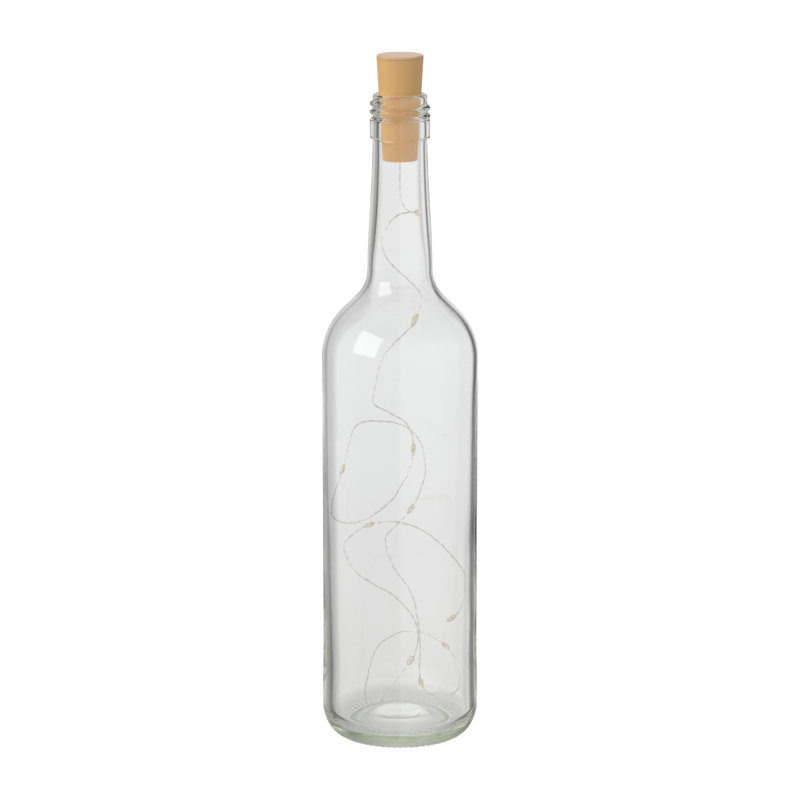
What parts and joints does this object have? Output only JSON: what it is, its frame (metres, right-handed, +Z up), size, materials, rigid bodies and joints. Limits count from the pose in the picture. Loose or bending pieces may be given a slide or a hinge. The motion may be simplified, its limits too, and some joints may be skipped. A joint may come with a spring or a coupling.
{
  "type": "bottle light",
  "caption": "Clear wine bottle closed by a cork-shaped plastic stopper that holds a lift-out battery tray, a twist switch cap and a fine wire of LED drops hanging in loops inside.",
  "frame": {"origin": "centre of the ring that the bottle stands on", "axes": "+Z up along the bottle's axis to the stopper, -Y toward the picture's viewer, +X to the viewer's right"},
  "size_m": [0.0758, 0.0758, 0.3333],
  "materials": {
    "bottle_glass": "clear, smooth, with a faint green tint at the base",
    "stopper_plastic": "satin moulded, cork tan",
    "cap_plastic": "satin moulded, paler tan",
    "bush_plastic": "satin",
    "board_laminate": "gloss",
    "resistor_body": "gloss",
    "spring_steel": "plated",
    "contact_brass": "bright",
    "cell_steel": "plated",
    "screw_steel": "plated",
    "wire_silver": "silvered and lacquered",
    "drop_resin": "clear resin",
    "chip_phosphor": "matt"
  },
  "bodies": {
    "bottle": {"glass_bottle": "bottle_glass", "glass_neck": "bottle_glass"},
    "stopper": {"stopper_body": "stopper_plastic", "wire_bush": "bush_plastic", "inner_lead": "wire_silver", "circuit_board": "board_laminate", "resistor": "resistor_body", "contact_spring": "spring_steel", "side_contact": "contact_brass", "led_wire": "wire_silver", "led_drop_01": "drop_resin", "led_drop_02": "drop_resin", "led_drop_03": "drop_resin", "led_drop_04": "drop_resin", "led_drop_05": "drop_resin", "led_drop_06": "drop_resin", "led_drop_07": "drop_resin", "led_drop_08": "drop_resin", "led_drop_09": "drop_resin", "led_drop_10": "drop_resin", "led_chip_01": "chip_phosphor", "led_chip_02": "chip_phosphor", "led_chip_03": "chip_phosphor", "led_chip_04": "chip_phosphor", "led_chip_05": "chip_phosphor", "led_chip_06": "chip_phosphor", "led_chip_07": "chip_phosphor", "led_chip_08": "chip_phosphor", "led_chip_09": "chip_phosphor", "led_chip_10": "chip_phosphor"},
    "tray": {"battery_tray": "stopper_plastic", "cell_lower": "cell_steel", "cell_middle": "cell_steel", "cell_upper": "cell_steel", "top_contact": "contact_brass"},
    "cap": {"twist_cap": "cap_plastic", "switch_contact": "contact_brass", "cap_screw": "screw_steel"}
  },
  "joints": [
    {"name": "stopper_lift", "type": "slide", "parent": "bottle", "child": "stopper", "axis": [0, 0, 1], "range_m": [0, 0.034]},
    {"name": "tray_lift", "type": "slide", "parent": "stopper", "child": "tray", "axis": [0, 0, 1], "range_m": [0, 0.03]},
    {"name": "cap_turn", "type": "hinge", "parent": "tray", "child": "cap", "pos_m": [0, 0, 0.331], "axis": [0, 0, 1], "range_deg": [0, 40]}
  ]
}
